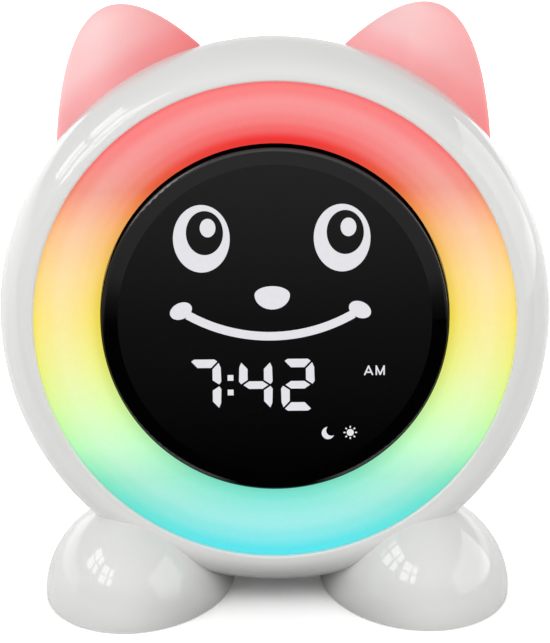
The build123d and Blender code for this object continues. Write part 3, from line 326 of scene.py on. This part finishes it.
# ---- materials ----
def glossy_shell(name, colour):
    """Injection-moulded gloss plastic: faint flow marks under a hard shine."""
    shader = Shader(name, colour, SHELL_ROUGHNESS, IOR=1.49)
    shader.mottle(colour, scale=45.0, amount=0.03)
    smooth, rough = SHELL_ROUGHNESS * 0.8, SHELL_ROUGHNESS * 1.3
    shader.set("Roughness", shader.span(shader.noise(90.0), *NOISE_NARROW, smooth, rough))
    shader.grain(scale=220.0, detail=1.0, strength=0.03, depth=0.1 * MM)
    return shader.material


def satin_plastic(name, colour, roughness=0.45, grain=2500.0):
    """Satin surface with a fine grain: moulded plastic, rubber or paper."""
    shader = Shader(name, colour, roughness, IOR=1.46)
    shader.mottle(colour, scale=300.0, amount=0.06)
    shader.grain(grain, detail=4.0, strength=0.25, depth=0.05 * MM)
    return shader.material


def ring_glow():
    """Milky diffuser lit from behind by coloured lamps, cool at the foot and warm at the top."""
    shader = Shader("ring_diffuser", (250, 240, 225), roughness=0.38, IOR=1.45,
                    Specular_IOR_Level=0.25)
    up, _, radius = shader.on_face()
    colours = [(place * MM, screen(colour)) for place, colour in RING_GLOW]
    deep = shader.ramp(up, colours, smooth=False)
    # painted sheen, partly also the hot spot over the lamps: the glow turns paler in a band, set
    # higher towards the light above
    hotspot_and_sheen = [(place * MM, grey(level)) for place, level in RING_HOTSPOT_AND_SHEEN]
    sheen_radius = shader.math("SUBTRACT", radius, shader.math("MULTIPLY", up, RING_SHEEN_SHIFT))
    glow = shader.mix(shader.ramp(sheen_radius, hotspot_and_sheen), deep, grey(1.0))
    cloud = shader.span(shader.noise(700.0, detail=3.0), 0.0, 1.0, 0.97, 1.03)
    shader.glow(shader.mix(1.0, glow, cloud, "MULTIPLY"), RING_STRENGTH)
    shader.set("Base Color", shader.mix(RING_BASE, grey(0.0), glow))
    shader.grain(scale=1600.0, detail=3.0, strength=0.08, depth=0.03 * MM)
    return shader.material


def panel_gloss(name):
    """Deep piano black under a clear, hard lacquer, matt on the side and its rounded edge."""
    shader = Shader(name, PANEL_BLACK, PANEL_GLOSS["Roughness"], IOR=1.7)
    depth = shader.along(FACE_OUT, CASE_CENTRE)
    for socket, matt in PANEL_MATT.items():
        shader.set(socket, shader.span(depth, *PANEL_EDGE, matt, PANEL_GLOSS[socket]))
    shader.mottle(PANEL_BLACK, scale=120.0, amount=0.3)
    shader.grain(scale=60.0, detail=1.0, strength=0.015, depth=0.1 * MM)
    return shader.material


def lit_window():
    """Milky white insert lit from behind, very slightly cloudy."""
    shader = Shader("lit_window", (40, 40, 42), roughness=0.12, IOR=1.45)
    dim, bright = (screen(colour) for colour in LIT_WHITE)
    shader.glow(shader.mix(shader.noise(900.0), dim, bright), LIT_STRENGTH)
    return shader.material


def ear_silicone():
    """Satin translucent silicone with pink lamps inside: deepest near the case, palest above."""
    shader = Shader("ear_silicone", (250, 180, 182), roughness=0.36, IOR=1.42,
                    Specular_IOR_Level=0.25)
    _, right, radius = shader.on_face()
    glow = shader.ramp(radius, [(place * MM, screen(colour)) for place, colour in EAR_GLOW])
    # painted shade: each ear's right side, away from the light on the left, is mixed towards a
    # deeper red
    middle = shader.math("MULTIPLY", shader.math("SIGN", right), EAR_MIDDLE_X)
    painted_shade = shader.span(shader.math("SUBTRACT", right, middle), *EAR_PAINTED_SHADE_SPAN)
    glow = shader.mix(painted_shade, glow, screen(EAR_PAINTED_SHADE))
    cloud = shader.span(shader.noise(60.0), *NOISE_WIDE, 0.95, 1.03)
    glow = shader.mix(1.0, glow, cloud, "MULTIPLY")
    shader.glow(glow, EAR_STRENGTH)
    shader.set("Base Color", shader.mix(EAR_BASE, grey(0.0), glow))
    shader.grain(scale=2200.0, detail=4.0, strength=0.15, depth=0.03 * MM)
    return shader.material


def metal(name, colour, roughness, scratches=900.0):
    """Plated steel with fine uneven scratches and slightly cloudy plating."""
    shader = Shader(name, colour, roughness, Metallic=1.0)
    shader.mottle(colour, scale=400.0, amount=0.15)
    smooth, rough = roughness * 0.7, roughness * 1.5
    scratched = shader.noise(scratches, detail=5.0)
    shader.set("Roughness", shader.span(scratched, *NOISE_WIDE, smooth, rough))
    shader.grain(scratches * 2.0, detail=4.0, strength=0.12, depth=0.02 * MM)
    return shader.material


def circuit_board():
    """Green solder mask, slightly cloudy, over a grid of copper tracks."""
    shader = Shader("circuit_board", (24, 92, 52), roughness=0.32, IOR=1.5)
    tracks = shader.add("TexBrick", offset=0.37, squash=0.6)
    for socket, value in (
        ("Vector", shader.place()),
        ("Scale", 140.0),
        ("Mortar Size", 0.05),
        ("Brick Width", 0.9),
        ("Row Height", 0.35),
    ):
        shader.feed(tracks.inputs[socket], value)
    copper = shader.span(tracks.outputs["Fac"], 0.0, 1.0)
    mask = shader.mix(shader.noise(2400.0), screen((18, 78, 44)), screen((28, 102, 58)))
    shader.set("Base Color", shader.mix(copper, mask, screen((52, 138, 74))))
    shader.bump(copper, strength=0.3, depth=0.03 * MM)
    return shader.material


def foam():
    """Closed-cell foam tape: small round cells, with painted shade in their hollows."""
    shader = Shader("foam", (58, 58, 58), roughness=0.95)
    cells = shader.add("TexVoronoi", feature="F1")
    shader.feed(cells.inputs["Vector"], shader.place())
    shader.feed(cells.inputs["Scale"], 1800.0)
    wall = shader.span(cells.outputs["Distance"], 0.1, 0.6)
    # painted shade: the cells are darker in their hollows, where the bump is low
    shader.set("Base Color", shader.mix(wall, screen((34, 34, 34)), screen((74, 74, 73))))
    shader.bump(wall, strength=0.6, depth=0.2 * MM)
    return shader.material


def ribbon_film(name, colour, line):
    """A flat cable: fine parallel wires that show through the film."""
    shader = Shader(name, colour, roughness=0.4, IOR=1.45)
    turns = shader.math("MULTIPLY", shader.along(RIGHT, CASE_CENTRE), 2 * math.pi / RIBBON_PITCH)
    lines = shader.span(shader.math("SINE", turns), 0.2, 0.6)
    shader.set("Base Color", shader.mix(lines, screen(colour), screen(line)))
    shader.bump(lines, strength=0.3, depth=0.05 * MM)
    return shader.material


def wrinkled(name, colour, roughness):
    """Shrink film or sleeve with soft wrinkles."""
    shader = Shader(name, colour, roughness, IOR=1.48)
    shader.mottle(colour, scale=160.0, amount=0.12)
    shader.grain(scale=260.0, detail=3.0, strength=0.5, depth=0.3 * MM)
    return shader.material


MATERIALS = {
    "white_shell": glossy_shell("white_shell", SHELL_WHITE),
    "ring_diffuser": ring_glow(),
    "black_panel": panel_gloss("black_panel"),
    "dark_window": panel_gloss("dark_window"),
    "lit_window": lit_window(),
    "key_plastic": satin_plastic("key_plastic", KEY_GREY),
    "ear_silicone": ear_silicone(),
    "white_inner_plastic": satin_plastic("white_inner_plastic", (236, 236, 232), roughness=0.5),
    "circuit_board": circuit_board(),
    "led": satin_plastic("led", (240, 236, 214), roughness=0.3, grain=3500.0),
    "pad_rubber": satin_plastic("pad_rubber", (196, 196, 193), roughness=0.8, grain=1800.0),
    "chip_black": satin_plastic("chip_black", (38, 38, 39), roughness=0.55, grain=3000.0),
    "socket_steel": metal("socket_steel", (205, 205, 207), roughness=0.22),
    "magnet_steel": metal("magnet_steel", (176, 176, 180), roughness=0.34),
    "screw_steel": metal("screw_steel", (184, 184, 188), roughness=0.28, scratches=1500.0),
    "cone_paper": satin_plastic("cone_paper", (52, 50, 48), roughness=0.85, grain=1400.0),
    "foam": foam(),
    "battery_wrap": wrinkled("battery_wrap", (70, 116, 178), roughness=0.3),
    "wire_sleeve": wrinkled("wire_sleeve", (178, 32, 30), roughness=0.42),
    "ribbon_film": ribbon_film("ribbon_film", (226, 224, 210), (176, 172, 152)),
}


def dress_nodes():
    """Give each CAD node the material of its slot."""
    slot_of = {part["node"]: part["material_slot"] for part in frame["record"]["subparts"]}
    for name, node in frame["nodes"].items():
        node.data.materials.clear()
        node.data.materials.append(MATERIALS[slot_of[name]])


# ---- camera, surroundings and light ----
def towards(azimuth, elevation):
    """Direction from the clock to a place around it."""
    turn, rise = math.radians(azimuth), math.radians(elevation)
    level = math.cos(rise)
    return Vector((math.sin(turn) * level, -math.cos(turn) * level, math.sin(rise)))


def put(name, data, location, rotation):
    """Place a camera or a lamp in the scene."""
    place = bpy.data.objects.new(name, data)
    place.location = location
    place.rotation_mode = "QUATERNION"
    place.rotation_quaternion = rotation
    bpy.context.scene.collection.objects.link(place)
    return place


def camera():
    data = bpy.data.cameras.new("camera")
    data.sensor_width = SENSOR
    data.lens = FOCAL_PIXELS / PICTURE_HEIGHT * SENSOR
    data.clip_start = CAMERA_NEAREST
    away = towards(0.0, CAMERA_ELEVATION)
    rotation = away.to_track_quat("Z", "Y") @ Quaternion((0.0, 0.0, 1.0), CAMERA_ROLL)
    bpy.context.scene.camera = put("camera", data, AIM + away * CAMERA_DISTANCE, rotation)


def lamp(name, azimuth, elevation, distance, width, height, radiance, gloss):
    """A softbox aimed at the clock, seen either in the gloss or as even light on the clock."""
    data = bpy.data.lights.new(name, "AREA")
    data.shape = "RECTANGLE"
    data.size = width
    data.size_y = height
    data.energy = radiance * math.pi * width * height
    away = towards(azimuth, elevation)
    place = put(name, data, LAMP_AIM + away * distance, away.to_track_quat("Z", "Y"))
    place.visible_diffuse = not gloss
    place.visible_glossy = gloss


def softboxes():
    """Keys and fills that only light, and windows and cards that only show in the gloss."""
    for name, azimuth, elevation, radiance in LIGHTING:
        lamp(name, azimuth, elevation, LIGHTING_DISTANCE, LIGHTING_SIZE, LIGHTING_SIZE,
             radiance, gloss=False)
    for name, azimuth, elevation in WINDOWS:
        for row, rise in PANE_ROWS:
            for column, turn, width in PANE_COLUMNS:
                lamp("_".join((name, column, row)), azimuth + turn, elevation + rise,
                     WINDOW_DISTANCE, width, PANE_HEIGHT, WINDOW_RADIANCE, gloss=True)
    for card in CARDS:
        lamp(*card, gloss=True)


def world():
    """A plain white studio: even light on the clock, in its gloss dim low down in front."""
    studio = bpy.data.worlds.new("studio")
    bpy.context.scene.world = studio
    graph = Graph(studio)
    background = graph.nodes["Background"]
    path = graph.add("LightPath")
    direction = graph.add("TexCoord").outputs["Generated"]
    sideways = graph.vector_math("DOT_PRODUCT", direction, RIGHT)
    off_middle = graph.math("MINIMUM", graph.math("MULTIPLY", sideways, sideways), SKY_SIDE_LIMIT)
    height = graph.math("SUBTRACT", graph.vector_math("DOT_PRODUCT", direction, SKY_LEAN),
                        graph.math("MULTIPLY", off_middle, SKY_SIDE_FALL))
    levels = [(place, grey(level)) for place, level in SKY_LEVELS]
    seen = graph.math("MAXIMUM", graph.ramp(height, levels, smooth=False),
                      path.outputs["Is Camera Ray"])
    graph.feed(background.inputs["Color"], grey(1.0))
    graph.feed(background.inputs["Strength"],
               graph.span(graph.seen_rays(path), 0.0, 1.0, SKY_LIGHT, seen))


def floor():
    """A pale table top, whiter where it is only seen than where it lights the clock.

    In the gloss it goes dark in front of the clock and between the feet. Its front part isn't
    in the gloss at all, because the dim studio below the horizon has to be seen there.
    """
    shader = Shader("floor", (250, 250, 250), roughness=0.7, Specular_IOR_Level=0.0)
    path = shader.add("LightPath")
    distance = shader.vector_math("LENGTH", shader.place())
    forward = shader.along(FORWARD, Vector())
    sideways = shader.math("ABSOLUTE", shader.along(RIGHT, Vector()))
    # painted shade: the floor is seen less white near the clock
    white = shader.math("ADD", shader.span(distance, *FLOOR_WHITE_PAINTED_SHADE_NEAR),
                        shader.span(distance, *FLOOR_WHITE_FAR))
    # painted shade between the feet, seen only in the gloss
    painted_shade_between_feet = shader.math("MULTIPLY", shader.span(sideways, *FEET_GAP_SIDEWAYS),
                               shader.span(forward, *FEET_GAP_FORWARD))
    darkened = shader.math("MAXIMUM", painted_shade_between_feet, shader.span(forward, *FLOOR_FRONT_FADE))
    darkened_in_gloss = shader.math("MULTIPLY", darkened, path.outputs["Is Glossy Ray"])
    shown = shader.math("MULTIPLY", white, shader.math("SUBTRACT", 1.0, darkened_in_gloss))
    # painted shade: the floor throws back less light near the clock's middle
    shaded_bounce = shader.span(distance, *FLOOR_BOUNCE_PAINTED_SHADE)
    shader.set("Base Color", shader.mix(shader.seen_rays(path), shaded_bounce, shown))
    for name, near, far, gloss in (
        ("floor_front", -FLOOR_REACH, FLOOR_SPLIT, False),
        ("floor_back", FLOOR_SPLIT, FLOOR_REACH, True),
    ):
        left, right = -FLOOR_REACH, FLOOR_REACH
        mesh = bpy.data.meshes.new(name)
        corners = [(left, near, 0.0), (right, near, 0.0), (right, far, 0.0), (left, far, 0.0)]
        mesh.from_pydata(corners, [], [(0, 1, 2, 3)])
        mesh.materials.append(shader.material)
        place = bpy.data.objects.new(name, mesh)
        place.visible_glossy = gloss
        bpy.context.scene.collection.objects.link(place)


camera()
world()
floor()
softboxes()
dress_nodes()
bpy.context.scene.view_settings.view_transform = "Standard"
